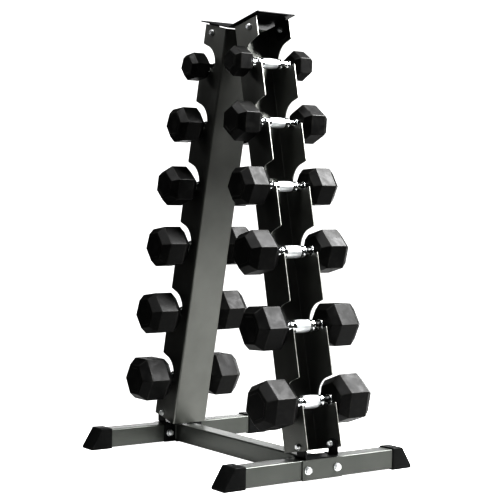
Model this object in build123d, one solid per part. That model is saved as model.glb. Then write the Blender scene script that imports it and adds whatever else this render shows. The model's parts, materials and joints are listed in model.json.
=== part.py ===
from build123d import *
import math
import os

# A-frame dumbbell rack, loaded with six pairs of hexagonal dumbbells.
# Millimetres. +Z is up, the floor is z = 0 and the origin is the middle of the base.
# +X runs along the crossbeam towards the right column, +Y along the dumbbells.

# ---------------------------------------------------------------- driving dimensions
LEAN = 12.5                    # degrees that each column leans towards the other

# Columns: bent-sheet channels, web towards the middle, open side outwards.
# They are drawn in their own frame: x is the depth out from the web, z runs up the column.
SHEET = 3.0
CHANNEL_WIDTH = 108.0
CHANNEL_DEPTH = 99.3
BEND_RADIUS = 5.0
WEB_FOOT_X = 271.7             # where the web's plane meets the floor
STRIP_DEPTH = 30.0             # how far the channel runs unnotched beside its web
COLUMN_LOW = 58.6
COLUMN_HIGH = 1171.0

# Cradle notches in the flanges' free edges, from the top tier down.
TIER_CORNERS = [1118.0, 959.5, 791.0, 620.5, 429.5, 238.5]
NOTCH_MOUTH = 68.0             # free edge missing at each notch
NOTCH_CORNER_RADIUS = 2.5
NOTCH_ROOF_RUN = 20.0          # nearly straight roof, before it curves down
NOTCH_ROOF_DROP = 3.0
NOTCH_BACK = 67.0              # deepest point in from the free edge
NOTCH_BACK_DROP = 44.0
NOTCH_CURVE_BACK = 51.0        # a point on the curve between roof and back
NOTCH_CURVE_DROP = 15.5
SADDLE_BACK = 40.0             # handle centre, in from the free edge
SADDLE_DROP = 60.0             # handle centre, below the notch's upper corner
SADDLE_CLEARANCE = 0.4
NOTCH_OVERRUN = 5.0            # how far the cutter reaches past the free edge

# Feet and crossbeam: square tubes.
TUBE = 50.0
TUBE_WALL = 2.0
TUBE_CORNER = 4.0
TUBE_LOW = 3.0                 # the caps lift the tubes off the floor
FOOT_X = 320.0
FOOT_HALF = 262.0              # half the tube's length, ends hidden in the caps
CAP_START = 231.0
CAP_TOP_END = 264.0
CAP_FLOOR_END = 295.0
CAP_WALL = 3.0
CAP_ROUNDING = 2.0
CAP_SILL = 6.0                 # upright part of the nose, above the floor

# Flat plates where the crossbeam is bolted to the feet.
JOINT_PLATE = 4.0
BACKING_PLATE = 3.0
JOINT_PLATE_HALF = 62.0
JOINT_BOLT_Y = 46.0

# Brackets that hold the columns.
BRACKET = 3.0
BRACKET_BEND = 5.0
BASE_EAR_TOP = 96.0
BASE_EAR_WIDTH = 36.0          # in from the foot's outer side
BASE_EAR_ROUNDING = 12.0
BASE_BOLT = (63.5, 70.0)       # depth and height in the column's frame
TOP_BOLT = (65.0, 1152.0)
TOP_PLATE_LOW = 1175.0         # underside of the top plate, in the column's frame
TOP_PLATE_REACH = 118.0
TOP_PLATE_HALF = 61.0
TOP_PLATE_TIP = 4.0            # rounding of its four tips
TOP_EAR_INNER = 42.0
TOP_EAR_OUTER = 88.0
TOP_EAR_LOW = 1126.0
TOP_EAR_ROUNDING = 12.0

# Fasteners: thread radius, width across flats, head height, nut height, washer radius
M8 = {"r": 4.0, "flats": 13.0, "head": 5.3, "nut": 6.5, "washer_r": 8.5, "washer": 1.6}
M10 = {"r": 5.0, "flats": 16.0, "head": 6.4, "nut": 8.0, "washer_r": 10.5, "washer": 2.0}
HOLE_GAP = 0.5                 # hole radius over thread radius
THREAD_PAST_NUT = 3.0
HEX_CROWN = 0.6                # share of the corner's overhang that the crown cuts off

# Dumbbells, from the top tier down. Turns are degrees about each handle.
HEAD_FLATS = [68.0, 89.0, 95.0, 103.0, 108.0, 114.0]
GRIP_RADII = [14.0, 14.0, 14.0, 17.0, 17.5, 17.5]
NECK_RADII = [11.0, 11.0, 11.0, 13.0, 13.0, 13.0]
RIGHT_TURNS = [28, 25, 3, 15, 3, 20]
LEFT_TURNS = [8, 5, 18, 8, 8, 0]
HEAD_INNER_Y = 66.0
HEAD_LENGTH = 0.86             # of the width across flats
HEAD_BEVEL = 0.19              # of the width across flats, along the handle
HEAD_END = 0.71                # end face's width over the head's width
RUBBER_SKIN = 4.0
HANDLE_IN_CORE = 24.0
GRIP_HALF = 24.0
GRIP_SHOULDER = 4.0
RING_START = 33.0
RING_END = 37.5
RING_STEP = 2.5
COLLAR_START = 60.0
TURNED_STEP = 1.0              # length of each sloped step
GRIP_CROWN = 1.5               # the grip's ends are this much slimmer than its middle

# ---------------------------------------------------------------- worked-out places
INSIDE_Y = CHANNEL_WIDTH / 2 - SHEET
TUBE_TOP = TUBE_LOW + TUBE
TUBE_MIDDLE = TUBE_LOW + TUBE / 2
FOOT_INNER = FOOT_X - TUBE / 2
FOOT_OUTER = FOOT_X + TUBE / 2
BEAM_HALF = FOOT_INNER - JOINT_PLATE
HANDLE_DEPTH = CHANNEL_DEPTH - SADDLE_BACK
COLUMN_PLACE = Location((WEB_FOOT_X, 0, 0), (0, -LEAN, 0))

os.makedirs("parts", exist_ok=True)


def save(name, shape):
    """Write one node's STEP file."""
    shape.label = name
    export_step(shape, f"parts/{name}.step")


def group(solids):
    """Join separate solids into one node without fusing them."""
    return Compound([solid for shape in solids for solid in shape.solids()])


def mirrored(shape):
    """Return the left-hand twin of a right-hand piece."""
    return mirror(shape, about=Plane.YZ)


def column_point(depth, height, y=0.0):
    """Turn a place in the right column's frame into the rack's frame."""
    lean = math.radians(LEAN)
    x = WEB_FOOT_X + depth * math.cos(lean) - height * math.sin(lean)
    return Vector(x, y, depth * math.sin(lean) + height * math.cos(lean))


def box(low, high):
    """Make a box from its lowest and highest corners."""
    size = [b - a for a, b in zip(low, high)]
    return Pos(*low) * Box(*size, align=(Align.MIN, Align.MIN, Align.MIN))


def drill(point, direction, radius, reach):
    """Make a round cutter centred on a point."""
    return Plane(origin=point, z_dir=direction) * Cylinder(radius, 2 * reach)


# ---------------------------------------------------------------- columns
def tangent_angle(dx, dz, radius, side):
    """Angle on a circle at the origin where a line from (dx, dz) touches it."""
    return math.atan2(dz, dx) + side * math.acos(radius / math.hypot(dx, dz))


def notch_cutter(corner, neck_radius):
    """Cut one cradle through both flanges: curved roof, round saddle, raised lip."""
    edge = CHANNEL_DEPTH
    past = edge + NOTCH_OVERRUN
    r = NOTCH_CORNER_RADIUS
    lip = corner - NOTCH_MOUTH
    saddle_x = edge - SADDLE_BACK
    saddle_z = corner - SADDLE_DROP
    saddle_r = neck_radius + SADDLE_CLEARANCE
    back = (edge - NOTCH_BACK, corner - NOTCH_BACK_DROP)
    roof = (edge - NOTCH_ROOF_RUN, corner - NOTCH_ROOF_DROP)
    curve = (edge - NOTCH_CURVE_BACK, corner - NOTCH_CURVE_DROP)
    a1 = tangent_angle(back[0] - saddle_x, back[1] - saddle_z, saddle_r, 1)
    a2 = tangent_angle(edge - r - saddle_x, lip - saddle_z, saddle_r, -1) + 2 * math.pi
    a3 = (a1 + a2) / 2

    def on_saddle(angle):
        return (saddle_x + saddle_r * math.cos(angle), saddle_z + saddle_r * math.sin(angle))

    def on_corner(z, angle):
        return (edge - r + r * math.cos(angle), z + r * math.sin(angle))

    upper = corner + r
    lower = lip - r
    half = math.radians(45)
    with BuildSketch(Plane.XZ) as outline:
        with BuildLine():
            Polyline((edge, lower), (past, lower), (past, upper), (edge, upper))
            ThreePointArc((edge, upper), on_corner(upper, -half), (edge - r, corner))
            Line((edge - r, corner), roof)
            ThreePointArc(roof, curve, back)
            Line(back, on_saddle(a1))
            ThreePointArc(on_saddle(a1), on_saddle(a3), on_saddle(a2))
            Line(on_saddle(a2), (edge - r, lip))
            ThreePointArc((edge - r, lip), on_corner(lower, half), (edge, lower))
        make_face()
    return extrude(outline.sketch, CHANNEL_WIDTH, both=True)


def column():
    """Bend one channel and cut its cradles and bolt holes, in the column's own frame."""
    outer = Pos(CHANNEL_DEPTH / 2, 0) * Rectangle(CHANNEL_DEPTH, CHANNEL_WIDTH)
    web_side = outer.vertices().group_by(Axis.X)[0]
    outer = fillet(web_side, BEND_RADIUS)
    inner = Pos(SHEET + CHANNEL_DEPTH / 2, 0) * Rectangle(CHANNEL_DEPTH, 2 * INSIDE_Y)
    web_side = inner.vertices().group_by(Axis.X)[0]
    inner = fillet(web_side, BEND_RADIUS - SHEET)
    body = extrude(Pos(0, 0, COLUMN_LOW) * (outer - inner), COLUMN_HIGH - COLUMN_LOW)
    for corner, neck_radius in zip(TIER_CORNERS, NECK_RADII):
        body -= notch_cutter(corner, neck_radius)
    for depth, height in (BASE_BOLT, TOP_BOLT):
        body -= drill((depth, 0, height), (0, 1, 0), M8["r"] + HOLE_GAP, CHANNEL_WIDTH)
    return body


def column_solids(body):
    """Divide a column into its channel and the flange fins between the cradles.

    The solids meet face to face. Apart, each is simple enough to stay open at its cradles.
    """
    half = CHANNEL_WIDTH / 2
    heights = [COLUMN_HIGH] + [corner - NOTCH_BACK_DROP for corner in TIER_CORNERS]
    heights.append(COLUMN_LOW)
    solids = [body & box((0, -half, COLUMN_LOW), (STRIP_DEPTH, half, COLUMN_HIGH))]
    for high, low in zip(heights, heights[1:]):
        solids.append(body & box((STRIP_DEPTH, -half, low), (CHANNEL_DEPTH, half, high)))
    return group(solids)


# ---------------------------------------------------------------- base
def square_tube(length):
    """Make a hollow square tube along Z, centred on the origin."""
    outer = RectangleRounded(TUBE, TUBE, TUBE_CORNER)
    inside = TUBE - 2 * TUBE_WALL
    inner = RectangleRounded(inside, inside, TUBE_CORNER - TUBE_WALL)
    return extrude(outer - inner, length / 2, both=True)


def joint_holes(x):
    """Make the cutters for the two through bolts of a foot joint."""
    radius = M10["r"] + HOLE_GAP
    return [drill((x, y, TUBE_MIDDLE), (1, 0, 0), radius, TUBE)
            for y in (-JOINT_BOLT_Y, JOINT_BOLT_Y)]


def foot_tube():
    """Make the right foot with its two bolt holes."""
    place = Location((FOOT_X, 0, TUBE_MIDDLE), (90, 0, 0))
    return place * square_tube(2 * FOOT_HALF) - joint_holes(FOOT_X)


def crossbeam():
    """Make the tube that ties the feet together."""
    return Location((0, 0, TUBE_MIDDLE), (0, 90, 0)) * square_tube(2 * BEAM_HALF)


def joint_plate(inner_x, outer_x):
    """Make a flat plate against a foot's side, drilled for the through bolts."""
    low = (inner_x, -JOINT_PLATE_HALF, TUBE_LOW)
    high = (outer_x, JOINT_PLATE_HALF, TUBE_TOP)
    return box(low, high) - joint_holes((inner_x + outer_x) / 2)


def end_cap(direction):
    """Make a wedge-ended rubber cap over one end of the right foot."""
    half = TUBE / 2 + CAP_WALL
    top = TUBE_TOP + CAP_WALL
    with BuildSketch(Plane.YZ) as side:
        with BuildLine():
            Polyline((CAP_START, 0), (CAP_FLOOR_END, 0), (CAP_FLOOR_END, CAP_SILL),
                     (CAP_TOP_END, top), (CAP_START, top), close=True)
        make_face()
    block = extrude(side.sketch, half, both=True)
    far = block.edges().filter_by(lambda e: e.center().Y > CAP_START + 1 and e.center().Z > 1)
    block = fillet(far, CAP_ROUNDING)
    socket = box((-TUBE / 2, CAP_START - 1, TUBE_LOW), (TUBE / 2, FOOT_HALF, TUBE_TOP))
    socket = fillet(socket.edges().filter_by(Axis.Y), TUBE_CORNER)
    cap = Pos(FOOT_X, 0, 0) * (block - socket)
    if direction < 0:
        cap = mirror(cap, about=Plane.XZ)
    return cap


# ---------------------------------------------------------------- brackets
def base_bracket():
    """Make the U-shaped bracket on the right foot, its ears inside the column's flanges."""
    height = BASE_EAR_TOP - TUBE_TOP
    outer = Pos(0, height / 2) * Rectangle(2 * INSIDE_Y, height)
    outer = fillet(outer.vertices().group_by(Axis.Y)[0], BRACKET_BEND)
    pocket = Pos(0, BRACKET + height / 2) * Rectangle(2 * (INSIDE_Y - BRACKET), height)
    pocket = fillet(pocket.vertices().group_by(Axis.Y)[0], BRACKET_BEND - BRACKET)
    section = Plane(origin=(FOOT_INNER, 0, TUBE_TOP), x_dir=(0, 1, 0), z_dir=(1, 0, 0))
    bracket = extrude(section * (outer - pocket), TUBE)
    bracket -= box((FOOT_INNER, -INSIDE_Y, TUBE_TOP + BRACKET_BEND),
                   (FOOT_OUTER - BASE_EAR_WIDTH, INSIDE_Y, BASE_EAR_TOP))
    tops = [e for e in bracket.edges().filter_by(Axis.Y) if e.center().Z > BASE_EAR_TOP - 1]
    bracket = fillet(tops, BASE_EAR_ROUNDING)
    hole = column_point(*BASE_BOLT)
    return bracket - drill(hole, (0, 1, 0), M8["r"] + HOLE_GAP, CHANNEL_WIDTH)


def top_bracket():
    """Make the V-shaped top plate with an ear inside each flange."""
    wing = box((-TOP_PLATE_LOW, -TOP_PLATE_HALF, TOP_PLATE_LOW),
               (TOP_PLATE_REACH, TOP_PLATE_HALF, TOP_PLATE_LOW + BRACKET))
    tips = wing.edges().filter_by(Axis.Z).group_by(Axis.X)[-1]
    wing = fillet(tips, TOP_PLATE_TIP)
    for side in (-1, 1):
        near, far = sorted((side * INSIDE_Y, side * (INSIDE_Y - BRACKET)))
        ear = box((TOP_EAR_INNER, near, TOP_EAR_LOW), (TOP_EAR_OUTER, far, TOP_PLATE_LOW))
        low_corners = ear.edges().filter_by(Axis.Y).group_by(Axis.Z)[0]
        wing += fillet(low_corners, TOP_EAR_ROUNDING)
    hole = (TOP_BOLT[0], 0, TOP_BOLT[1])
    wing -= drill(hole, (0, 1, 0), M8["r"] + HOLE_GAP, CHANNEL_WIDTH)
    wing = COLUMN_PLACE * wing
    far_half = (-2 * TOP_PLATE_LOW, -CHANNEL_WIDTH, 0)
    wing -= box(far_half, (0, CHANNEL_WIDTH, 2 * TOP_PLATE_LOW))
    return wing + mirrored(wing)


# ---------------------------------------------------------------- fasteners
def hexagon(flats, height):
    """Make a hexagonal prism on the XY plane, its corners softened by a cone."""
    prism = extrude(RegularPolygon(flats / 2, 6, major_radius=False), height)
    corner_r = flats / math.sqrt(3)
    slope = (corner_r - flats / 2) * HEX_CROWN
    crown = Cone(corner_r + height, corner_r - slope, height + slope, align=(
        Align.CENTER, Align.CENTER, Align.MIN))
    return prism & Pos(0, 0, -slope) * crown


def washer(size):
    """Make a flat washer on the XY plane."""
    ring = Circle(size["washer_r"]) - Circle(size["r"] + HOLE_GAP)
    return extrude(ring, size["washer"])


def fasten(size, outer_point, outward, grip):
    """Return the bolt, nut and two washers that clamp a stack of the given thickness."""
    place = Plane(origin=outer_point, z_dir=outward)
    inner = Plane(origin=Vector(*outer_point) - Vector(*outward) * grip,
                  z_dir=Vector(*outward) * -1)
    length = grip + 2 * size["washer"] + size["nut"] + THREAD_PAST_NUT
    shank = Pos(0, 0, -length / 2) * Cylinder(size["r"], length)
    bolt = place * (Pos(0, 0, size["washer"]) * (hexagon(size["flats"], size["head"]) + shank))
    nut = hexagon(size["flats"], size["nut"])
    nut -= Cylinder(size["r"], 4 * size["nut"])
    nut = inner * (Pos(0, 0, size["washer"]) * nut)
    return bolt, nut, [place * washer(size), inner * washer(size)]


def upright_fasteners():
    """Return the bolts, nuts and washers that hold the columns to their brackets."""
    bolts, nuts, washers = [], [], []
    for spot in (BASE_BOLT, TOP_BOLT):
        for side in (-1, 1):
            point = column_point(*spot, side * CHANNEL_WIDTH / 2)
            bolt, nut, rings = fasten(M8, point, (0, side, 0), SHEET + BRACKET)
            bolts += [bolt, mirrored(bolt)]
            nuts += [nut, mirrored(nut)]
            washers += rings + [mirrored(ring) for ring in rings]
    return bolts, nuts, washers


def foot_fasteners():
    """Return the through bolts, nuts and washers of the two foot joints."""
    bolts, nuts, washers = [], [], []
    stack = JOINT_PLATE + TUBE + BACKING_PLATE
    for y in (-JOINT_BOLT_Y, JOINT_BOLT_Y):
        point = (FOOT_OUTER + BACKING_PLATE, y, TUBE_MIDDLE)
        bolt, nut, rings = fasten(M10, point, (1, 0, 0), stack)
        bolts += [bolt, mirrored(bolt)]
        nuts += [nut, mirrored(nut)]
        washers += rings + [mirrored(ring) for ring in rings]
    return bolts, nuts, washers


# ---------------------------------------------------------------- dumbbells
def head_solid(flats, start, end):
    """Make a hexagonal head along Z that narrows to a smaller hexagon at both ends."""
    bevel = HEAD_BEVEL * flats
    stations = [(start, HEAD_END), (start + bevel, 1.0), (end - bevel, 1.0), (end, HEAD_END)]
    faces = [Pos(0, 0, z) * RegularPolygon(flats * part / 2, 6, major_radius=False)
             for z, part in stations]
    return loft(faces, ruled=True)


def handle_solid(grip_radius, neck_radius):
    """Turn the chromed handle: crowned grip, stepped necks with rings, collars, ends."""
    end = HEAD_INNER_Y + RUBBER_SKIN + HANDLE_IN_CORE
    shoulder = GRIP_HALF + GRIP_SHOULDER
    ring = neck_radius + RING_STEP
    step = TURNED_STEP
    half = [(neck_radius, shoulder), (neck_radius, RING_START), (ring, RING_START + step),
            (ring, RING_END - step), (neck_radius, RING_END), (neck_radius, COLLAR_START),
            (ring, COLLAR_START + step), (ring, HEAD_INNER_Y), (neck_radius, HEAD_INNER_Y),
            (neck_radius, end)]
    upper = [(grip_radius - GRIP_CROWN, GRIP_HALF)] + half
    lower = [(r, -z) for r, z in reversed(upper)]
    with BuildSketch(Plane.XZ) as profile:
        with BuildLine():
            ThreePointArc(lower[-1], (grip_radius, 0), upper[0])
            Polyline(*upper, (0, end), (0, -end), *lower)
        make_face()
    return revolve(profile.sketch, Axis.Z)


def dumbbell(tier, turn):
    """Make one dumbbell at its place in the right column: handle, cores and heads."""
    flats = HEAD_FLATS[tier]
    handle = handle_solid(GRIP_RADII[tier], NECK_RADII[tier])
    end = HEAD_INNER_Y + HEAD_LENGTH * flats
    core = head_solid(flats - 2 * RUBBER_SKIN, HEAD_INNER_Y + RUBBER_SKIN, end - RUBBER_SKIN)
    head = head_solid(flats, HEAD_INNER_Y, end) - core - handle
    core -= handle
    place = Location(column_point(HANDLE_DEPTH, TIER_CORNERS[tier] - SADDLE_DROP), (90, 0, 0))
    place *= Location((0, 0, 0), (0, 0, turn))
    pair = Location((0, 0, 0), (180, 0, 0))
    return {
        "handle": place * handle,
        "cores": group([place * core, place * (pair * core)]),
        "heads": group([place * head, place * (pair * head)]),
    }


# ---------------------------------------------------------------- build every node
right_column = COLUMN_PLACE * column_solids(column())
base_holder = base_bracket()
foot = foot_tube()
beam_plate = joint_plate(BEAM_HALF, FOOT_INNER)
backing_plate = joint_plate(FOOT_OUTER, FOOT_OUTER + BACKING_PLATE)
upright_bolts, upright_nuts, upright_washers = upright_fasteners()
foot_bolts, foot_nuts, foot_washers = foot_fasteners()

pairs = {
    "upright": right_column,
    "foot_tube": foot,
    "beam_plate": beam_plate,
    "backing_plate": backing_plate,
    "base_bracket": base_holder,
    "front_foot_cap": end_cap(-1),
    "rear_foot_cap": end_cap(1),
}
for name, piece in pairs.items():
    save(f"right_{name}", piece)
    save(f"left_{name}", mirrored(piece))

save("crossbeam", crossbeam())
save("top_bracket", top_bracket())
save("upright_bolts", group(upright_bolts))
save("upright_nuts", group(upright_nuts))
save("upright_washers", group(upright_washers))
save("foot_bolts", group(foot_bolts))
save("foot_nuts", group(foot_nuts))
save("foot_washers", group(foot_washers))

for tier in range(len(HEAD_FLATS)):
    for piece, shape in dumbbell(tier, RIGHT_TURNS[tier]).items():
        save(f"right_dumbbell_{tier + 1}_{piece}", shape)
    for piece, shape in dumbbell(tier, -LEFT_TURNS[tier]).items():
        save(f"left_dumbbell_{tier + 1}_{piece}", mirrored(shape))
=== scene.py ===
"""Looks of an A-frame dumbbell rack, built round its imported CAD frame."""

import json
import math

import bpy
from mathutils import Matrix, Vector

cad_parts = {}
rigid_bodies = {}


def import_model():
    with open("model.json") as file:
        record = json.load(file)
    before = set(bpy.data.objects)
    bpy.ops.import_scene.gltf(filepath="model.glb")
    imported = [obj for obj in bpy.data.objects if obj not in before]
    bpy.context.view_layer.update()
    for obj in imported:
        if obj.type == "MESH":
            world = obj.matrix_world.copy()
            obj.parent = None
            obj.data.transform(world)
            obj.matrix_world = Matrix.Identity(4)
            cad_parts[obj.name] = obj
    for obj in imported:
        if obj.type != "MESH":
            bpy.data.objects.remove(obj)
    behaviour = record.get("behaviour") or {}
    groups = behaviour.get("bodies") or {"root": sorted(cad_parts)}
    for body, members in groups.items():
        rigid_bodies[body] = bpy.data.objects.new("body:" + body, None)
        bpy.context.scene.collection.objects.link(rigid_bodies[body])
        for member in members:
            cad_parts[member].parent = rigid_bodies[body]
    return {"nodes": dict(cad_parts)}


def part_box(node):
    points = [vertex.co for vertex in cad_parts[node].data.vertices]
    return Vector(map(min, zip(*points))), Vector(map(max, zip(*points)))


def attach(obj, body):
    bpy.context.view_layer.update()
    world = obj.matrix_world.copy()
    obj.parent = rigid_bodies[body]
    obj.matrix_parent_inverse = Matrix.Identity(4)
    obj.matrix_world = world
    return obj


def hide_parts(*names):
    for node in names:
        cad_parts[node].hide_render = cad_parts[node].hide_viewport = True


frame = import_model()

bl_info = {
    "name": "Dumbbell rack",
    "version": (1, 0, 0),
    "blender": (4, 5, 0),
    "location": "View3D > Sidebar > Rack",
    "description": "Finishes an A-frame rack with hexagonal dumbbells round its CAD frame",
    "category": "Object",
}

MM = 0.001
LEAN = math.radians(12.5)    # of each column, as in the CAD
WEB_FOOT = 271.7 * MM        # where a column's web meets the floor
STRIP_DEPTH = 30 * MM        # how far a column runs unnotched beside its web
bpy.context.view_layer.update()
SIDES = ("right", "left")
TIERS = range(1, 7)
HEAD_LENGTH = 0.86           # of the width across flats, as in the CAD heads
HEAD_BEVEL = 0.19            # of the width across flats, along the handle
HEAD_END = 0.71              # end face's width over the head's width
HEAD_END_FACE = 400 * MM * MM    # only a head's two end faces are larger, square to its bar
HEAD_EDGE_FACE = 60 * MM * MM    # faces smaller than this belong to a head's rounded edges, which get paler rubber as a painted highlight
FLANGE_BAND = 2.8 * MM       # just under the sheet's thickness, in from a flange's outside
PLATE_EDGE = 0.6 * MM        # rounding of the brackets' and plates' edges
SAME_POINT = 0.01 * MM       # points this close are one point of the CAD
SLIVER = 0.6 * MM            # shorter steps left by fusing a column are closed up
KNURL_PITCH = 1.2 * MM       # spacing of the ridges on the grip
KNURL_HALF = 22 * MM         # the ridges cover this much each side of the grip's middle
KNURL_ROUGHNESS = 0.34       # added where the ridges scatter the light
FLOOR_GLOW = 0.85            # the floor is exposed to near white
FLOOR_SIDE = 1.64
FLOOR_MIDDLE = (0.2, 0.2, -0.2 * MM)
ROOM_LIGHT = 0.04            # what the dark room round the softboxes gives back
LENS_SHIFT = (0.0066, -0.0175)    # sideways and up, as parts of the sensor's width
SOFTBOXES = (
    # name, place, aimed at, width, height, setting that holds its power
    ("front_softbox", (0.2, -0.9, 2.9), (0, 0, 0.6), 1.0, 1.0, "key_power"),
    ("top_softbox", (0.8, 1.6, 2.6), (0, 0, 0.55), 1.7, 1.0, "top_power"),
    ("side_softbox", (-1.2, -1.3, 1.75), (0, 0, 1.1), 0.5, 0.5, "side_power"),
    ("far_softbox", (1.3, 1.0, 1.74), (0.05, -0.03, 0.95), 0.45, 0.6, "far_power"),
    ("back_softbox", (-1.9, 1.5, 0.3), (0, 0, 0.15), 3.0, 0.45, "back_power"),
)

# Places that are read from the frame
COLUMN_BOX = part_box("right_upright")
FLANGE_Y = COLUMN_BOX[1].y
CROSSBEAM_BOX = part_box("crossbeam")


# ---------------------------------------------------------------- small helpers
def linear(hex_colour):
    """Turn an sRGB hex colour into the linear RGBA that a shader reads."""
    def channel(value):
        value /= 255
        return value / 12.92 if value <= 0.04045 else ((value + 0.055) / 1.055) ** 2.4
    code = hex_colour.lstrip("#")
    return tuple(channel(int(code[i:i + 2], 16)) for i in (0, 2, 4)) + (1.0,)


def per_mm(size):
    """Return the texture scale whose features are about this many millimetres across."""
    return 1.0 / (size * MM)


def object_mode():
    """Leave edit mode and deselect everything."""
    if bpy.context.object and bpy.context.object.mode != "OBJECT":
        bpy.ops.object.mode_set(mode="OBJECT")
    bpy.ops.object.select_all(action="DESELECT")


def activate(piece):
    """Make one piece the only selected and active object."""
    object_mode()
    piece.select_set(True)
    bpy.context.view_layer.objects.active = piece


def edit(piece, faces=None, edges=None):
    """Enter edit mode with only the faces, or edges, that pass a test selected."""
    activate(piece)
    mesh = piece.data
    mode = "EDGE" if edges else "FACE"
    bpy.ops.object.mode_set(mode="EDIT")
    bpy.ops.mesh.select_mode(type=mode)
    bpy.ops.mesh.select_all(action="SELECT" if not faces and not edges else "DESELECT")
    bpy.ops.object.mode_set(mode="OBJECT")
    if faces:
        for face in mesh.polygons:
            face.select = faces(face)
    if edges:
        for line in mesh.edges:
            line.select = edges(*(mesh.vertices[i].co for i in line.vertices))
    bpy.ops.object.mode_set(mode="EDIT")


def place(piece, matrix=None):
    """Move a finished piece by a matrix and leave its place in its mesh."""
    activate(piece)
    bpy.ops.object.transform_apply(location=True, rotation=True, scale=True)
    if matrix is not None:
        piece.data.transform(matrix)
        piece.data.update()


def soften(piece, width, segments=3, angle=30):
    """Round a piece's sharp edges by a real radius and shade it smoothly."""
    activate(piece)
    bevel = piece.modifiers.new("edge_radius", "BEVEL")
    bevel.width = width
    bevel.segments = segments
    bevel.limit_method = "ANGLE"
    bevel.angle_limit = math.radians(angle)
    bevel.use_clamp_overlap = True
    bpy.ops.object.modifier_apply(modifier=bevel.name)
    bpy.ops.object.shade_smooth_by_angle(angle=math.radians(angle))


def keep_flat(piece):
    """Give large flat faces their own direction in shading, so that only edges look round."""
    activate(piece)
    split = piece.modifiers.new("even_triangles", "TRIANGULATE")
    split.ngon_method = "BEAUTY"
    split.min_vertices = 5
    weigh = piece.modifiers.new("flat_faces", "WEIGHTED_NORMAL")
    weigh.mode = "FACE_AREA"
    weigh.keep_sharp = True
    for modifier in (split, weigh):
        bpy.ops.object.modifier_apply(modifier=modifier.name)


def dress(piece, material, body, slot, *nodes):
    """Give a piece its material and its body, and hide the nodes it stands for; slot is not used.
    """
    if material:
        piece.data.materials.clear()
        piece.data.materials.append(material)
    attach(piece, body)
    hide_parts(*nodes)
    return piece


def clean_copy(node, name):
    """Copy a CAD node's mesh, join its loose triangles and merge its flat faces."""
    piece = bpy.data.objects.new(name, frame["nodes"][node].data.copy())
    bpy.context.scene.collection.objects.link(piece)
    edit(piece)
    bpy.ops.mesh.remove_doubles(threshold=SAME_POINT)
    bpy.ops.mesh.customdata_custom_splitnormals_clear()
    bpy.ops.mesh.dissolve_limited(angle_limit=math.radians(0.5))
    object_mode()
    return piece


def fused_column(side, name):
    """Copy a column, whose CAD solids meet face to face, and fuse them into one bent sheet.

    It is done in the column's own frame, where x is the depth and z the height, because
    there the meeting faces lie in exact planes.
    """
    outward = 1 if side == "right" else -1
    upright = (Matrix.Translation((outward * WEB_FOOT, 0, 0))
               @ Matrix.Rotation(-outward * LEAN, 4, "Y"))
    piece = bpy.data.objects.new(name, frame["nodes"][f"{side}_upright"].data.copy())
    bpy.context.scene.collection.objects.link(piece)
    piece.data.transform(upright.inverted())
    for vertex in piece.data.vertices:
        vertex.co = [round(value, 5) for value in vertex.co]
    piece.data.update()

    def on_fin(face):
        past = face.center.x * outward - STRIP_DEPTH
        return past > 0.001 * MM or (past > -0.001 * MM and face.normal.x * outward < -0.9)

    edit(piece, faces=on_fin)
    bpy.ops.mesh.separate(type="SELECTED")
    object_mode()
    fins = next(o for o in bpy.data.objects if o.name.startswith(name) and o is not piece)
    edit(fins, faces=lambda f: abs(f.normal.z) > 0.99
         and f.center.x * outward < STRIP_DEPTH + 2.5 * MM)
    bpy.ops.mesh.delete(type="FACE")
    object_mode()
    for half in (piece, fins):
        edit(half)
        bpy.ops.mesh.remove_doubles(threshold=SAME_POINT)
        bpy.ops.mesh.customdata_custom_splitnormals_clear()
        object_mode()
    activate(piece)
    union = piece.modifiers.new("fuse", "BOOLEAN")
    union.operation = "UNION"
    union.solver = "EXACT"
    union.object = fins
    bpy.ops.object.modifier_apply(modifier=union.name)
    bpy.data.objects.remove(fins)
    edit(piece)
    bpy.ops.mesh.remove_doubles(threshold=SAME_POINT)
    bpy.ops.mesh.dissolve_limited(angle_limit=math.radians(0.5))
    bpy.ops.mesh.remove_doubles(threshold=SLIVER)
    object_mode()
    piece.data.transform(upright)
    return piece


def islands(node):
    """Return the lowest and highest corner of each separate solid in a CAD node."""
    piece = clean_copy(node, "count_solids")
    mesh = piece.data
    home = list(range(len(mesh.vertices)))

    def root(i):
        while home[i] != i:
            i = home[i]
        return i

    for line in mesh.edges:
        a, b = (root(i) for i in line.vertices)
        home[max(a, b)] = min(a, b)
    solids = {}
    for i, vertex in enumerate(mesh.vertices):
        solids.setdefault(root(i), []).append(vertex.co.copy())
    bpy.data.objects.remove(piece)
    return [(Vector(map(min, zip(*spots))), Vector(map(max, zip(*spots))))
            for spots in solids.values()]


def join(pieces, name):
    """Join pieces into one mesh object."""
    activate(pieces[0])
    for piece in pieces:
        piece.select_set(True)
    if len(pieces) > 1:
        bpy.ops.object.join()
    pieces[0].name = name
    return pieces[0]


def duplicate(piece, matrix):
    """Copy a piece, with its own mesh, to another place."""
    twin = piece.copy()
    twin.data = piece.data.copy()
    bpy.context.scene.collection.objects.link(twin)
    twin.data.transform(matrix)
    return twin


# ---------------------------------------------------------------- materials
def add_node(tree, kind, inputs=None, **settings):
    """Add a shader node: settings are its properties, inputs are values or (node, output)."""
    made = tree.nodes.new(kind)
    for name, value in settings.items():
        setattr(made, name, value)
    for socket, value in (inputs or {}).items():
        if isinstance(value, tuple) and isinstance(value[0], bpy.types.Node):
            tree.links.new(value[0].outputs[value[1]], made.inputs[socket])
        else:
            made.inputs[socket].default_value = value
    return made


def new_material(name):
    """Start a node material with an object-space coordinate and return its parts."""
    material = bpy.data.materials.new(name)
    material.use_nodes = True
    tree = material.node_tree
    tree.nodes.clear()
    where = add_node(tree, "ShaderNodeTexCoord")
    return material, tree, (where, "Object")


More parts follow.
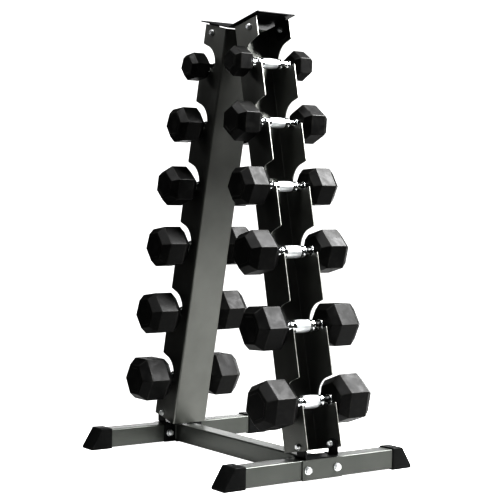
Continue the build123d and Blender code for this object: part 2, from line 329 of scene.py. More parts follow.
def close_material(tree, **sockets):
    """Add the surface shader and the output."""
    values = {name.replace("_", " "): value for name, value in sockets.items()}
    shader = add_node(tree, "ShaderNodeBsdfPrincipled", values)
    add_node(tree, "ShaderNodeOutputMaterial", {"Surface": (shader, "BSDF")})


def ramp_between(tree, factor, low, high, start=0.3, end=0.7):
    """Spread a pattern between two colours."""
    spread = add_node(tree, "ShaderNodeMapRange",
                      {"Value": factor, "From Min": start, "From Max": end})
    return add_node(tree, "ShaderNodeMix", {0: (spread, 0), 6: linear(low), 7: linear(high)},
                    data_type="RGBA"), 2


def powder_coat(name, base, shade, rough, metal, shine=0.5, peel_mm=3.0, peel_height=0.03):
    """Powder-coated steel, baked: an even coat with a soft sheen and faint orange peel.

    The real peel is about 1 mm across; it is drawn at peel_mm so that it breaks up highlights.
    """
    material, tree, where = new_material(name)
    cloud = add_node(tree, "ShaderNodeTexNoise",
                     {"Vector": where, "Scale": per_mm(90), "Detail": 3.0})
    colour = ramp_between(tree, (cloud, "Fac"), shade, base)
    peel = add_node(tree, "ShaderNodeTexNoise",
                    {"Vector": where, "Scale": per_mm(peel_mm), "Detail": 1.5})
    gloss = add_node(tree, "ShaderNodeMapRange",
                     {"Value": (cloud, "Fac"), "To Min": rough - 0.04, "To Max": rough + 0.05})
    bump = add_node(tree, "ShaderNodeBump", {
        "Height": (peel, "Fac"), "Strength": 0.35, "Distance": peel_height * MM})
    close_material(tree, Base_Color=colour, Roughness=(gloss, 0), Normal=(bump, 0),
                   Metallic=metal, Specular_IOR_Level=shine)
    return material


def thin_coat_and_painted_highlight(name, base, shade):
    """Cut sheet edge, painted paler: powder draws back from it, so the steel's grey shows
    through, and the pale colour also paints the highlight the edges catch.
    """
    material, tree, where = new_material(name)
    wear = add_node(tree, "ShaderNodeTexNoise",
                    {"Vector": where, "Scale": per_mm(14), "Detail": 4.0})
    colour = ramp_between(tree, (wear, "Fac"), shade, base, 0.35, 0.6)
    shear = add_node(tree, "ShaderNodeTexNoise",
                     {"Vector": where, "Scale": per_mm(1.5), "Detail": 1.0})
    bump = add_node(tree, "ShaderNodeBump", {
        "Height": (shear, "Fac"), "Strength": 0.4, "Distance": 0.05 * MM})
    close_material(tree, Base_Color=colour, Roughness=0.38, Metallic=0.35, Normal=(bump, 0))
    return material


def moulded_rubber(name, base, dusty, rough, grain_mm):
    """Moulded rubber: near black, matt, with a fine grain and pale bloom where it is rubbed."""
    material, tree, where = new_material(name)
    grain = add_node(tree, "ShaderNodeTexNoise",
                     {"Vector": where, "Scale": per_mm(grain_mm), "Detail": 3.0})
    bloom = add_node(tree, "ShaderNodeTexNoise", {
        "Vector": where, "Scale": per_mm(26), "Detail": 5.0, "Roughness": 0.62,
        "Distortion": 0.6})
    colour = ramp_between(tree, (bloom, "Fac"), base, dusty, 0.46, 0.74)
    gloss = add_node(tree, "ShaderNodeMapRange", {
        "Value": (bloom, "Fac"), "From Min": 0.35, "From Max": 0.65,
        "To Min": rough - 0.07, "To Max": rough + 0.07})
    bump = add_node(tree, "ShaderNodeBump", {
        "Height": (grain, "Fac"), "Strength": 0.5, "Distance": 0.12 * MM})
    close_material(tree, Base_Color=colour, Roughness=(gloss, 0), Normal=(bump, 0),
                   Specular_IOR_Level=0.13)
    return material


def chrome_plate(name):
    """Chrome plate on a knurled bar: bright, with fine crossed ridges on the grip only.

    The map's first direction runs round the bar and its second along it, both in metres.
    """
    material, tree, where = new_material(name)
    flat = add_node(tree, "ShaderNodeUVMap", uv_map="bar")
    split = add_node(tree, "ShaderNodeSeparateXYZ", {"Vector": (flat, 0)})
    ridges = []
    for sign in (1, -1):
        lean = add_node(tree, "ShaderNodeMath", {0: (split, "Y"), 1: float(sign)},
                        operation="MULTIPLY")
        run = add_node(tree, "ShaderNodeMath", {0: (split, "X"), 1: (lean, 0)},
                       operation="ADD")
        wave = add_node(tree, "ShaderNodeMath", {0: (run, 0), 1: KNURL_PITCH},
                        operation="PINGPONG")
        ridges.append((wave, 0))
    knurl = add_node(tree, "ShaderNodeMath", {0: ridges[0], 1: ridges[1]},
                     operation="MINIMUM")
    reach = add_node(tree, "ShaderNodeMath", {0: (split, "Y")}, operation="ABSOLUTE")
    inside = add_node(tree, "ShaderNodeMath", {0: (reach, 0), 1: KNURL_HALF},
                      operation="LESS_THAN")
    height = add_node(tree, "ShaderNodeMath", {0: (knurl, 0), 1: (inside, 0)},
                      operation="MULTIPLY")
    bump = add_node(tree, "ShaderNodeBump", {
        "Height": (height, 0), "Strength": 0.25, "Distance": 0.5})
    smear = add_node(tree, "ShaderNodeTexNoise",
                     {"Vector": where, "Scale": per_mm(18), "Detail": 4.0})
    gloss = add_node(tree, "ShaderNodeMapRange", {
        "Value": (smear, "Fac"), "To Min": 0.08, "To Max": 0.2})
    roughness = add_node(tree, "ShaderNodeMath", {
        0: (inside, 0), 1: KNURL_ROUGHNESS, 2: (gloss, 0)}, operation="MULTIPLY_ADD")
    colour = ramp_between(tree, (smear, "Fac"), "#dfe2e4", "#f2f3f3")
    close_material(tree, Base_Color=colour, Metallic=1.0, Roughness=(roughness, 0),
                   Normal=(bump, 0))
    return material


def bright_zinc(name):
    """Zinc-plated fasteners: pale metal with a faint grain and small tone changes."""
    material, tree, where = new_material(name)
    tone = add_node(tree, "ShaderNodeTexNoise",
                    {"Vector": where, "Scale": per_mm(6), "Detail": 3.0})
    colour = ramp_between(tree, (tone, "Fac"), "#c9cccd", "#eff0f0")
    gloss = add_node(tree, "ShaderNodeMapRange", {
        "Value": (tone, "Fac"), "To Min": 0.22, "To Max": 0.36})
    close_material(tree, Base_Color=colour, Metallic=0.9, Roughness=(gloss, 0))
    return material


def raw_casting(name):
    """Cast iron, as poured: dark grey and grainy. It is sealed inside the heads."""
    material, tree, where = new_material(name)
    sand = add_node(tree, "ShaderNodeTexNoise",
                    {"Vector": where, "Scale": per_mm(2), "Detail": 5.0})
    colour = ramp_between(tree, (sand, "Fac"), "#2b2c2d", "#4a4b4c")
    bump = add_node(tree, "ShaderNodeBump", {
        "Height": (sand, "Fac"), "Strength": 0.8, "Distance": 0.3 * MM})
    close_material(tree, Base_Color=colour, Metallic=0.6, Roughness=0.7, Normal=(bump, 0))
    return material


def studio_floor(name, tone):
    """Matt studio floor, pale and even, that glows only where the camera sees it."""
    material, tree, where = new_material(name)
    cloud = add_node(tree, "ShaderNodeTexNoise",
                     {"Vector": where, "Scale": per_mm(800), "Detail": 2.0})
    colour = ramp_between(tree, (cloud, "Fac"), tone, "#d2d2d1")
    seen = add_node(tree, "ShaderNodeLightPath")
    glow = add_node(tree, "ShaderNodeMath", {0: (seen, "Is Camera Ray"), 1: FLOOR_GLOW},
                    operation="MULTIPLY")
    close_material(tree, Base_Color=colour, Roughness=0.9, Emission_Color=linear("#ffffff"),
                   Emission_Strength=(glow, 0))
    return material


def finish_of(name):
    """Return a finish by name, made once and then shared."""
    if name in bpy.data.materials:
        return bpy.data.materials[name]
    s = bpy.context.scene.rack_finish
    makers = {
        "column_powder_coat": lambda n: powder_coat(
            n, s.column_colour, s.column_shade, 0.36, 0.8),
        # pale cut-edge colours: thin coat, and a painted highlight along the edges
        "column_cut_edge": lambda n: thin_coat_and_painted_highlight(n, "#b9bab4", "#8b8c87"),
        "tube_powder_coat": lambda n: powder_coat(
            n, s.tube_colour, s.tube_shade, 0.4, 0.7),
        "bracket_powder_coat": lambda n: powder_coat(
            n, "#161718", "#101112", 0.45, 0.0, shine=0.25),
        "head_rubber_moulded": lambda n: moulded_rubber(n, s.rubber_colour, "#1d1d1c", 0.48, 1.4),
        # paler rubber for the heads' rounded edges: a painted highlight
        "head_rubber_rubbed_edge": lambda n: moulded_rubber(n, "#181817", "#333331", 0.42, 1.4),
        "cap_rubber_moulded": lambda n: moulded_rubber(n, "#101111", "#1a1a1a", 0.55, 1.8),
        "handle_chrome_plate": chrome_plate,
        "fastener_bright_zinc": bright_zinc,
        "core_cast_iron": raw_casting,
    }
    return makers[name](name)


# ---------------------------------------------------------------- settings
class RackFinish(bpy.types.PropertyGroup):
    """Sizes and colours of the rack's finish."""

    column_colour: bpy.props.StringProperty(
        name="Column colour", description="Powder coat of the two columns, sRGB hex",
        default="#6a6b68")
    column_shade: bpy.props.StringProperty(
        name="Column shade", description="Darker tone of the same coat, sRGB hex",
        default="#60615e")
    tube_colour: bpy.props.StringProperty(
        name="Tube colour", description="Powder coat of the feet and crossbeam, sRGB hex",
        default="#585a57")
    tube_shade: bpy.props.StringProperty(
        name="Tube shade", description="Darker tone of the same coat, sRGB hex",
        default="#515350")
    rubber_colour: bpy.props.StringProperty(
        name="Rubber colour", description="Rubber of the dumbbell heads, sRGB hex",
        default="#0d0d0d")
    sheet_edge: bpy.props.FloatProperty(
        name="Sheet edge radius", description="Rounding of the bent sheet's cut edges",
        default=0.7 * MM, min=0.0, max=1.4 * MM, unit="LENGTH", precision=5)
    head_edge: bpy.props.FloatProperty(
        name="Head edge radius", description="Rounding of the moulded heads' edges",
        default=1.6 * MM, min=0.0, max=6 * MM, unit="LENGTH", precision=5)
    cap_edge: bpy.props.FloatProperty(
        name="Cap edge radius", description="Rounding of the end caps' outer edges",
        default=3.0 * MM, min=0.0, max=6 * MM, unit="LENGTH", precision=5)


class StudioStage(bpy.types.PropertyGroup):
    """Camera, lights and floor."""

    lens: bpy.props.FloatProperty(
        name="Focal length", description="Lens on a 36 mm sensor, in millimetres",
        default=98.7, min=10.0)
    camera_place: bpy.props.FloatVectorProperty(
        name="Camera place", description="Where the camera stands",
        default=(2.9908, -2.1100, 0.6933), subtype="XYZ", unit="LENGTH")
    heading: bpy.props.FloatProperty(
        name="Heading", description="Turn of the camera about the upright axis",
        default=math.radians(54.70), subtype="ANGLE")
    dip: bpy.props.FloatProperty(
        name="Dip", description="How far the camera looks down",
        default=math.radians(1.767), subtype="ANGLE")
    roll: bpy.props.FloatProperty(
        name="Roll", description="Turn of the camera about its view axis",
        default=math.radians(0.707), subtype="ANGLE")
    floor_tone: bpy.props.StringProperty(
        name="Floor tone", description="Colour of the studio floor, sRGB hex",
        default="#c8c8c7")
    key_power: bpy.props.FloatProperty(
        name="Key power", description="Softbox at the front left, in watts",
        default=55.0, min=0.0)
    top_power: bpy.props.FloatProperty(
        name="Top power", description="Softbox above and behind the right column, in watts",
        default=240.0, min=0.0)
    side_power: bpy.props.FloatProperty(
        name="Side power", description="Small softbox level with the top plate, in watts",
        default=4.5, min=0.0)
    back_power: bpy.props.FloatProperty(
        name="Back power", description="Wide low softbox behind the rack, in watts",
        default=20.0, min=0.0)
    far_power: bpy.props.FloatProperty(
        name="Far power", description="Softbox on the far side, into the open channels, in watts",
        default=26.0, min=0.0)


# ---------------------------------------------------------------- rack pieces
class RACK_OT_columns(bpy.types.Operator):
    """Round the edges of the two notched channels and paint their cut edges pale, for thin coat
    and painted highlight
    """
    bl_idname = "rack.columns"
    bl_label = "Columns"

    def execute(self, context):
        """Make both columns from the CAD channels."""
        finish = context.scene.rack_finish
        for side in SIDES:
            node = f"{side}_upright"
            piece = fused_column(side, f"{side}_column")
            soften(piece, finish.sheet_edge, segments=2)
            keep_flat(piece)
            dress(piece, finish_of("column_powder_coat"), "rack", "upright_coat", node)
            piece.data.materials.append(finish_of("column_cut_edge"))
            # the cut edges take the pale finish: thin coat with a painted highlight
            for face in piece.data.polygons:
                on_sheet_edge = abs(face.center.y) > FLANGE_Y - FLANGE_BAND
                if on_sheet_edge and abs(face.normal.y) < 0.3:
                    face.material_index = 1
        return {"FINISHED"}


class RACK_OT_brackets(bpy.types.Operator):
    """Round the edges of the bent and flat plates that hold the rack together"""
    bl_idname = "rack.brackets"
    bl_label = "Brackets and plates"

    def execute(self, context):
        """Make the top bracket, the base brackets and the flat joint plates."""
        black = {"top_bracket": "top_plate"}
        grey = {}
        for side in SIDES:
            black[f"{side}_base_bracket"] = f"{side}_base_holder"
            black[f"{side}_beam_plate"] = f"{side}_beam_flange"
            grey[f"{side}_backing_plate"] = f"{side}_bolt_plate"
        for finish, slot, plates in (("bracket_powder_coat", "bracket_coat", black),
                                     ("tube_powder_coat", "tube_coat", grey)):
            for node, name in plates.items():
                piece = clean_copy(node, name)
                soften(piece, PLATE_EDGE, segments=2)
                keep_flat(piece)
                dress(piece, finish_of(finish), "rack", slot, node)
        return {"FINISHED"}


class RACK_OT_tubes(bpy.types.Operator):
    """Coat the feet and the crossbeam and run weld beads round the crossbeam's ends"""
    bl_idname = "rack.tubes"
    bl_label = "Feet and crossbeam"

    def execute(self, context):
        """Copy the CAD tubes, coat them, and add the beads."""
        coat = finish_of("tube_powder_coat")
        tubes = ["crossbeam"] + [f"{side}_foot_tube" for side in SIDES]
        for node in tubes:
            piece = clean_copy(node, node.replace("_tube", "") + "_steel")
            activate(piece)
            bpy.ops.object.shade_smooth_by_angle(angle=math.radians(30))
            keep_flat(piece)
            dress(piece, coat, "rack", "tube_coat", node)
        low, high = CROSSBEAM_BOX
        for side, x in zip(SIDES, (high.x, low.x)):
            bead = self.bead(x, low, high)
            bead.name = f"{side}_weld_bead"
            bead.data.materials.clear()
            bead.data.materials.append(coat)
            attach(bead, "rack")
        return {"FINISHED"}

    def bead(self, x, low, high):
        """Lay one rippled bead round the tube where it meets its plate."""
        radius = 2.6 * MM
        tube_corner = 4 * MM
        middle = (low + high) / 2
        object_mode()
        bpy.ops.mesh.primitive_plane_add(
            size=high.y - low.y, location=(x, middle.y, middle.z),
            rotation=(0, math.radians(90), 0))
        bead = bpy.context.object
        place(bead)
        edit(bead)
        bpy.ops.mesh.bevel(offset=tube_corner, segments=4, affect="VERTICES")
        bpy.ops.mesh.subdivide(number_cuts=6)
        bpy.ops.mesh.delete(type="ONLY_FACE")
        object_mode()
        activate(bead)
        bpy.ops.object.convert(target="CURVE")
        bead = bpy.context.object
        bead.data.bevel_depth = radius
        bead.data.bevel_resolution = 2
        bpy.ops.object.convert(target="MESH")
        bead = bpy.context.object
        edit(bead)
        bpy.ops.mesh.remove_doubles(threshold=0.02 * MM)
        bpy.ops.mesh.normals_make_consistent(inside=False)
        object_mode()
        activate(bead)
        bpy.ops.object.shade_smooth()
        return bead


class RACK_OT_end_caps(bpy.types.Operator):
    """Mould the four rubber end caps with their sloped noses and hollow sleeves"""
    bl_idname = "rack.end_caps"
    bl_label = "End caps"

    def execute(self, context):
        """Make each cap over its tube end."""
        for side in SIDES:
            for end in ("front", "rear"):
                node = f"{side}_{end}_foot_cap"
                piece = self.cap(node, context.scene.rack_finish.cap_edge)
                piece.name = f"{side}_{end}_rubber_cap"
                dress(piece, finish_of("cap_rubber_moulded"), "rack", "cap_rubber", node)
        return {"FINISHED"}

    def cap(self, node, radius):
        """Shape one cap from a box: slope the nose, round the edges, hollow the sleeve."""
        low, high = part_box(node)
        outward = 1 if high.y > 0 else -1
        start, nose = (low.y, high.y) if outward > 0 else (high.y, low.y)
        slope = 31 * MM      # how far the nose leans back at its top
        sill = 6 * MM        # upright part of the nose, from the floor
        crest = 12 * MM      # from the top of the cap down to a level cut round it
        collar = 7 * MM      # from the sleeve's mouth to an upright cut round it
        wall = 3 * MM
        socket = 20 * MM     # depth of the hollow that takes the tube
        object_mode()
        bpy.ops.mesh.primitive_cube_add(size=1, location=(low + high) / 2, scale=high - low)
        piece = bpy.context.object
        place(piece)
        edit(piece)
        for height in (low.z + sill, high.z - crest):
            bpy.ops.mesh.select_all(action="SELECT")
            bpy.ops.mesh.bisect(plane_co=(0, 0, height), plane_no=(0, 0, 1))
        bpy.ops.mesh.select_all(action="SELECT")
        bpy.ops.mesh.bisect(plane_co=(0, start + outward * collar, 0), plane_no=(0, 1, 0))
        object_mode()
        rise = high.z - low.z - sill
        for vertex in piece.data.vertices:
            if abs(vertex.co.y - nose) < 0.1 * MM and vertex.co.z > low.z + sill:
                vertex.co.y -= outward * slope * (vertex.co.z - low.z - sill) / rise
        soften(piece, radius, segments=4)
        edit(piece, faces=lambda f: abs(f.center.y - start) < 0.05 * MM and abs(f.normal.y) > 0.9)
        bpy.ops.mesh.dissolve_faces()
        bpy.ops.mesh.inset(thickness=wall)
        bpy.ops.mesh.extrude_region_move(
            TRANSFORM_OT_translate={"value": (0, outward * socket, 0)})
        object_mode()
        return piece


# ---------------------------------------------------------------- fasteners
def hex_prism(flats, height, crown, base_z=0.0):
    """Make a hexagon head along Z whose upper corners are cut back to a round crown."""
    object_mode()
    bpy.ops.mesh.primitive_cylinder_add(
        vertices=6, radius=flats / math.sqrt(3), depth=height,
        location=(0, 0, base_z + height / 2))
    piece = bpy.context.object
    place(piece)
    top = base_z + height
    edit(piece, faces=lambda f: f.center.z > top - 0.01 * MM)
    bpy.ops.mesh.inset(thickness=crown)
    bpy.ops.mesh.extrude_region_move(TRANSFORM_OT_translate={"value": (0, 0, 0.3 * MM)})
    object_mode()
    for vertex in piece.data.vertices:
        if vertex.co.z > top - 0.01 * MM and vertex.co.xy.length > flats / math.sqrt(3) - crown:
            vertex.co.z -= crown * 0.7
    soften(piece, 0.35 * MM, segments=2, angle=20)
    return piece


def lathe(profile, sides=40):
    """Turn a round piece along Z from (height, radius) stations, by extruding a disc."""
    object_mode()
    height, radius = profile[0]
    bpy.ops.mesh.primitive_circle_add(
        vertices=sides, radius=radius, fill_type="NGON", location=(0, 0, height))
    piece = bpy.context.object
    place(piece)
    edit(piece)
    for (z0, r0), (z1, r1) in zip(profile, profile[1:]):
        bpy.ops.mesh.extrude_region_move(
            TRANSFORM_OT_translate={"value": (0, 0, z1 - z0)})
        bpy.ops.transform.resize(value=(r1 / r0, r1 / r0, 1), center_override=(0, 0, z1))
    bpy.ops.mesh.select_all(action="SELECT")
    bpy.ops.mesh.normals_make_consistent(inside=False)
    object_mode()
    activate(piece)
    bpy.ops.object.shade_smooth_by_angle(angle=math.radians(30))
    return piece


def thread_profile(radius, start, end, pitch):
    """List the stations of a threaded bar: a root and a crest for each turn."""
    stations = [(start, radius)]
    turns = int(abs(end - start) / pitch)
    step = pitch if end > start else -pitch
    for i in range(turns):
        z = start + i * step
        stations += [(z + step * 0.5, radius * 0.88), (z + step, radius)]
    stations.append((end + step * 0.4, radius * 0.8))
    return stations


class RACK_OT_fasteners(bpy.types.Operator):
    """Make the hexagon bolts, nuts and washers and set them where the CAD ones are"""
    bl_idname = "rack.fasteners"
    bl_label = "Bolts, nuts and washers"

    def execute(self, context):
        """Model one set for each size, then copy it to every solid of its node."""
        sets = {
            "upright": {"axis": "y", "flats": 13, "head": 5.3, "nut": 6.5, "thread": 4.0,
                        "pitch": 1.25},
            "foot": {"axis": "x", "flats": 16, "head": 6.4, "nut": 8.0, "thread": 5.0,
                     "pitch": 1.5},
        }
        for name, size in sets.items():
            bolts = sorted(islands(f"{name}_bolts"), key=lambda s: tuple(s[0]))
            self.scatter(f"{name}_bolts", self.bolt(size, bolts[0]), bolts, size["axis"], 1)
            nuts = islands(f"{name}_nuts")
            self.scatter(f"{name}_nuts", self.nut(size), nuts, size["axis"], -1)
            washers = islands(f"{name}_washers")
            self.scatter(f"{name}_washers", self.washer(washers[0], size), washers,
                         size["axis"], 1)
        return {"FINISHED"}

    def bolt(self, size, solid):
        """Model one bolt: its head's top is at z = 0 and its shank runs down."""
        low, high = solid
        length = high.y - low.y if size["axis"] == "y" else high.x - low.x
        head = hex_prism(size["flats"] * MM, size["head"] * MM, 1.4 * MM,
                         base_z=-size["head"] * MM)
        radius = size["thread"] * MM
        end = -length
        start = end + 14 * MM
        smooth = [(-size["head"] * MM, radius), (start, radius)]
        shank = lathe(smooth + thread_profile(radius, start - 0.1 * MM, end, size["pitch"] * MM),
                      sides=24)
        return join([head, shank], "bolt")

    def nut(self, size):
        """Model one nut whose outer face is at z = 0."""
        return hex_prism(size["flats"] * MM, size["nut"] * MM, 1.2 * MM,
                         base_z=-size["nut"] * MM)

    def washer(self, solid, size):
        """Model one washer whose outer face is at z = 0, as a ring with rounded rims."""
        low, high = solid
        thick = min(high - low)
        outer = max(high - low) / 2
        object_mode()
        bpy.ops.mesh.primitive_cylinder_add(
            vertices=40, radius=outer, depth=thick, location=(0, 0, -thick / 2))
        piece = bpy.context.object
        place(piece)
        soften(piece, 0.25 * MM, segments=2)
        return piece

    def scatter(self, node, model, solids, axis, facing):
        """Copy a fastener to each solid's place, its top facing out of the rack or in."""
        copies = []
        for low, high in solids:
            middle = (low + high) / 2
            out = Vector((0, math.copysign(1, middle.y), 0))
            if axis == "x":
                out = Vector((math.copysign(1, middle.x), 0, 0))
            if node.endswith("washers"):
                out = self.washer_facing(node, middle, out)
            out *= facing
            reach = abs((high - low).dot(out)) / 2
            turn = out.to_track_quat("Z", "Y").to_matrix().to_4x4()
            spot = Matrix.Translation(middle + out * reach)
            copies.append(duplicate(model, spot @ turn))
        bpy.data.objects.remove(model)
        piece = join(copies, node.replace("upright", "column") + "_plated")
        dress(piece, finish_of("fastener_bright_zinc"), "rack", "zinc", node)

    def washer_facing(self, node, middle, out):
        """Turn a washer under a nut to face the other way from one under a bolt head."""
        outer = FLANGE_Y if node.startswith("upright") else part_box("right_foot_tube")[1].x
        return out if abs(middle.dot(out)) > outer else -out


# ---------------------------------------------------------------- dumbbells
def corner_turn(node, centre):
    """Angle, about a handle, of the head corner that lies farthest from it."""
    spots = [vertex.co - centre for vertex in frame["nodes"][node].data.vertices]
    far = max(spots, key=lambda spot: round(math.hypot(spot.x, spot.z), 6))
    return math.atan2(far.z, far.x)


class RACK_OT_dumbbell_heads(bpy.types.Operator):
    """Mould the hexagonal rubber heads"""
    bl_idname = "rack.dumbbell_heads"
    bl_label = "Dumbbell heads"

    def execute(self, context):
        """Make both heads of each dumbbell as one piece."""
        for side in SIDES:
            for tier in TIERS:
                body = f"{side}_dumbbell_{tier}"
                node = f"{body}_heads"
                solids = sorted(islands_of_heads(node), key=lambda s: s[0].y)
                heads = [self.head(node, solid, context.scene.rack_finish.head_edge)
                         for solid in solids]
                piece = join(heads, f"{body}_rubber")
                dress(piece, None, body, "head_rubber", node)
        return {"FINISHED"}

    def head(self, node, solid, radius):
        """Shape one head from a six-sided bar: slope both ends, round the edges, sink a panel."""
        low, high = solid
        middle = (low + high) / 2
        length = high.y - low.y
        flats = length / HEAD_LENGTH
        bevel = flats * HEAD_BEVEL
        corner = flats / math.sqrt(3)
        panel_rim = 0.06 * flats
        panel_slope = 1.2 * MM
        panel_depth = 0.6 * MM
        object_mode()
        bpy.ops.mesh.primitive_cylinder_add(vertices=6, radius=corner, depth=length - 2 * bevel)
        piece = bpy.context.object
        for sign in (1, -1):
            edit(piece, faces=lambda f: f.normal.z * sign > 0.9)
            bpy.ops.mesh.extrude_region_move(
                TRANSFORM_OT_translate={"value": (0, 0, sign * bevel)})
            bpy.ops.transform.resize(value=(HEAD_END, HEAD_END, 1),
                                     center_override=(0, 0, sign * length / 2))
        soften(piece, radius, segments=4, angle=15)
        out = 1 if middle.y > 0 else -1
        edit(piece, faces=lambda f: f.normal.z * out > 0.99 and f.area > HEAD_END_FACE)
        bpy.ops.mesh.inset(thickness=panel_rim)
        bpy.ops.mesh.inset(thickness=panel_slope, depth=-panel_depth)
        object_mode()
        turn = corner_turn(node, middle)
        spin = Matrix.Rotation(turn, 4, "Y").inverted()
        lie = Matrix.Rotation(math.radians(-90), 4, "X")
        place(piece, Matrix.Translation(middle) @ spin @ lie @ self.to_x_axis(piece))
        piece.data.materials.append(finish_of("head_rubber_moulded"))
        piece.data.materials.append(finish_of("head_rubber_rubbed_edge"))
        # the small rounded-edge faces take the paler rubber, a painted edge highlight
        for face in piece.data.polygons:
            face.material_index = 1 if face.area < HEAD_EDGE_FACE else 0
        activate(piece)
        bpy.ops.object.shade_smooth_by_angle(angle=math.radians(25))
        keep_flat(piece)
        return piece

    def to_x_axis(self, piece):
        """Turn a head about its bar so that one corner points along +X."""
        far = max((v.co for v in piece.data.vertices),
                  key=lambda co: round(math.hypot(co.x, co.y), 6))
        return Matrix.Rotation(-math.atan2(far.y, far.x), 4, "Z")


def islands_of_heads(node):
    """Return the box of each head of a dumbbell, outer skin only."""
    solids = islands(node)
    ends = {}
    for low, high in solids:
        side = low.y > 0
        held = ends.get(side)
        if held is None or (high - low).length > (held[1] - held[0]).length:
            ends[side] = (low, high)
    return list(ends.values())


class RACK_OT_dumbbell_handles(bpy.types.Operator):
    """Turn the chromed handles with their crowned grips, rings and collars"""
    bl_idname = "rack.dumbbell_handles"
    bl_label = "Dumbbell handles"

    def execute(self, context):
        """Make each handle along its CAD one."""
        for side in SIDES:
            for tier in TIERS:
                body = f"{side}_dumbbell_{tier}"
                node = f"{body}_handle"
                piece = self.handle(node)
                piece.name = f"{body}_grip"
                dress(piece, finish_of("handle_chrome_plate"), body, "handle_chrome", node)
        return {"FINISHED"}

    def handle(self, node):
        """Turn one handle: stations run from one hidden end to the other."""
        low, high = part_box(node)
        centre = (low + high) / 2
        grip = (high.x - low.x) / 2
        radii = [math.hypot(v.co.x - centre.x, v.co.z - centre.z)
                 for v in frame["nodes"][node].data.vertices]
        neck = min(r for r in radii if r > 5 * MM)
        ring = neck + 2.5 * MM
        end = (high.y - low.y) / 2
        crown = [(grip - 1.5 * MM * (y / 24) ** 2, y) for y in (24, 20, 16, 12, 8, 4)]
        half = [(neck, end / MM), (neck, 66.1), (ring - 0.4 * MM, 66), (ring, 65.5),
                (ring, 61.4), (ring - 0.6 * MM, 60.6), (neck + 0.3 * MM, 60), (neck, 59),
                (neck, 38.5), (neck + 0.4 * MM, 37.7), (ring - 0.5 * MM, 37.2), (ring, 36.4),
                (ring, 34.2), (ring - 0.5 * MM, 33.4), (neck + 0.4 * MM, 33), (neck, 32),
                (neck, 29), (neck + 0.4 * MM, 28.2), (grip - 2.6 * MM, 25)] + crown
        upper = [(y * MM, r) for r, y in half]
        stations = upper + [(0.0, grip)] + [(-y, r) for y, r in reversed(upper)]
        piece = lathe(stations, sides=48)
        self.map_bar(piece)
        lie = Matrix.Rotation(math.radians(-90), 4, "X")
        place(piece, Matrix.Translation(centre) @ lie)
        return piece

    def map_bar(self, piece):
        """Unroll the bar: first coordinate is the arc round it, second runs along it."""
        mesh = piece.data
        bar = mesh.uv_layers.new(name="bar")
        radius = max(math.hypot(v.co.x, v.co.y) for v in mesh.vertices)
        for face in mesh.polygons:
            middle = math.atan2(face.center.y, face.center.x)
            for loop in face.loop_indices:
                co = mesh.vertices[mesh.loops[loop].vertex_index].co
                angle = math.atan2(co.y, co.x)
                angle = middle + math.remainder(angle - middle, math.tau)
                bar.data[loop].uv = (angle * radius, co.z)


class RACK_OT_cores(bpy.types.Operator):
    """Give the hidden iron cores their casting finish"""
    bl_idname = "rack.cores"
    bl_label = "Iron cores"

    def execute(self, context):
        """Assign the finish to each CAD core."""
        for side in SIDES:
            for tier in TIERS:
                core = frame["nodes"][f"{side}_dumbbell_{tier}_cores"]
                core.data.materials.clear()
                core.data.materials.append(finish_of("core_cast_iron"))
        return {"FINISHED"}


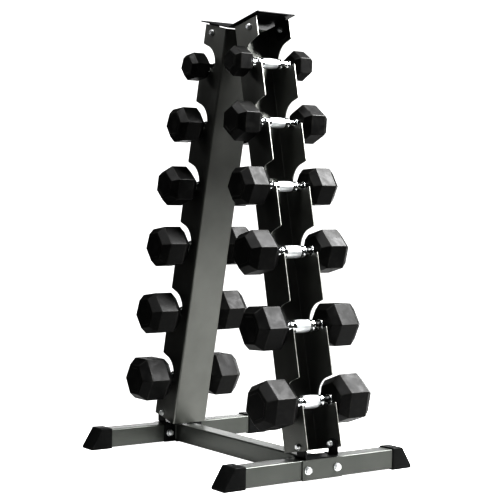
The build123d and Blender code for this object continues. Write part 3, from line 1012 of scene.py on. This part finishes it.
# ---------------------------------------------------------------- stage
class RACK_OT_stage(bpy.types.Operator):
    """Set the camera, the pale floor and the softboxes"""
    bl_idname = "rack.stage"
    bl_label = "Studio stage"

    def execute(self, context):
        """Build the camera, the floor, the lights and the surroundings."""
        stage = context.scene.rack_stage
        self.camera(context, stage)
        self.floor(stage)
        for name, spot, aim, width, height, power in SOFTBOXES:
            self.softbox(name, spot, Vector(aim), width, height, getattr(stage, power))
        self.surroundings(context)
        context.scene.view_settings.view_transform = "Standard"
        context.scene.view_settings.look = "High Contrast"
        return {"FINISHED"}

    def camera(self, context, stage):
        """Stand the camera at the front right, a long way off."""
        data = bpy.data.cameras.new("camera")
        data.lens = stage.lens
        data.sensor_width = 36.0
        data.shift_x, data.shift_y = LENS_SHIFT
        data.clip_end = 60.0
        eye = bpy.data.objects.new("camera", data)
        context.scene.collection.objects.link(eye)
        turn = (Matrix.Rotation(stage.heading, 4, "Z")
                @ Matrix.Rotation(math.radians(90) - stage.dip, 4, "X")
                @ Matrix.Rotation(stage.roll, 4, "Z"))
        eye.matrix_world = Matrix.Translation(stage.camera_place) @ turn
        context.scene.camera = eye

    def floor(self, stage):
        """Lay a wide floor under the caps."""
        object_mode()
        bpy.ops.mesh.primitive_plane_add(size=FLOOR_SIDE, location=FLOOR_MIDDLE)
        floor = bpy.context.object
        floor.name = "studio_floor"
        place(floor)
        floor.data.materials.append(studio_floor("floor_matt_paint", stage.floor_tone))

    def softbox(self, name, spot, aim, width, height, power):
        """Hang one softbox that faces the rack."""
        data = bpy.data.lights.new(name, "AREA")
        data.shape = "RECTANGLE"
        data.size = width
        data.size_y = height
        data.energy = power
        lamp = bpy.data.objects.new(name, data)
        bpy.context.scene.collection.objects.link(lamp)
        lamp.location = spot
        lamp.rotation_euler = (aim - Vector(spot)).to_track_quat("-Z", "Y").to_euler()

    def surroundings(self, context):
        """Show the camera a white sweep, and give the rack almost no light from it."""
        world = bpy.data.worlds.new("studio")
        world.use_nodes = True
        context.scene.world = world
        tree = world.node_tree
        tree.nodes.clear()
        path = add_node(tree, "ShaderNodeLightPath")
        dim = add_node(tree, "ShaderNodeBackground",
                       {"Color": linear("#ffffff"), "Strength": ROOM_LIGHT})
        sweep = add_node(tree, "ShaderNodeBackground",
                         {"Color": linear("#ffffff"), "Strength": 1.0})
        mix = add_node(tree, "ShaderNodeMixShader",
                       {0: (path, "Is Camera Ray"), 1: (dim, 0), 2: (sweep, 0)})
        add_node(tree, "ShaderNodeOutputWorld", {"Surface": (mix, 0)})


class RACK_PT_panel(bpy.types.Panel):
    """Steps that finish the rack, in order"""
    bl_idname = "RACK_PT_panel"
    bl_label = "Dumbbell rack"
    bl_space_type = "VIEW_3D"
    bl_region_type = "UI"
    bl_category = "Rack"

    def draw(self, context):
        """List the settings and the steps."""
        for group in (context.scene.rack_finish, context.scene.rack_stage):
            for name in group.__annotations__:
                self.layout.prop(group, name)
        for step in STEPS:
            self.layout.operator(step.bl_idname)


STEPS = (RACK_OT_columns, RACK_OT_brackets, RACK_OT_tubes, RACK_OT_end_caps,
         RACK_OT_fasteners, RACK_OT_dumbbell_heads, RACK_OT_dumbbell_handles,
         RACK_OT_cores, RACK_OT_stage)
CLASSES = (RackFinish, StudioStage) + STEPS + (RACK_PT_panel,)


def register():
    """Register the classes and attach the settings to the scene."""
    for item in CLASSES:
        bpy.utils.register_class(item)
    bpy.types.Scene.rack_finish = bpy.props.PointerProperty(type=RackFinish)
    bpy.types.Scene.rack_stage = bpy.props.PointerProperty(type=StudioStage)


def unregister():
    """Detach the settings and unregister the classes."""
    del bpy.types.Scene.rack_stage
    del bpy.types.Scene.rack_finish
    for item in reversed(CLASSES):
        bpy.utils.unregister_class(item)


def main():
    """Run every step in order."""
    register()
    bpy.ops.rack.columns()
    bpy.ops.rack.brackets()
    bpy.ops.rack.tubes()
    bpy.ops.rack.end_caps()
    bpy.ops.rack.fasteners()
    bpy.ops.rack.dumbbell_heads()
    bpy.ops.rack.dumbbell_handles()
    bpy.ops.rack.cores()
    bpy.ops.rack.stage()


if __name__ == "__main__":
    main()
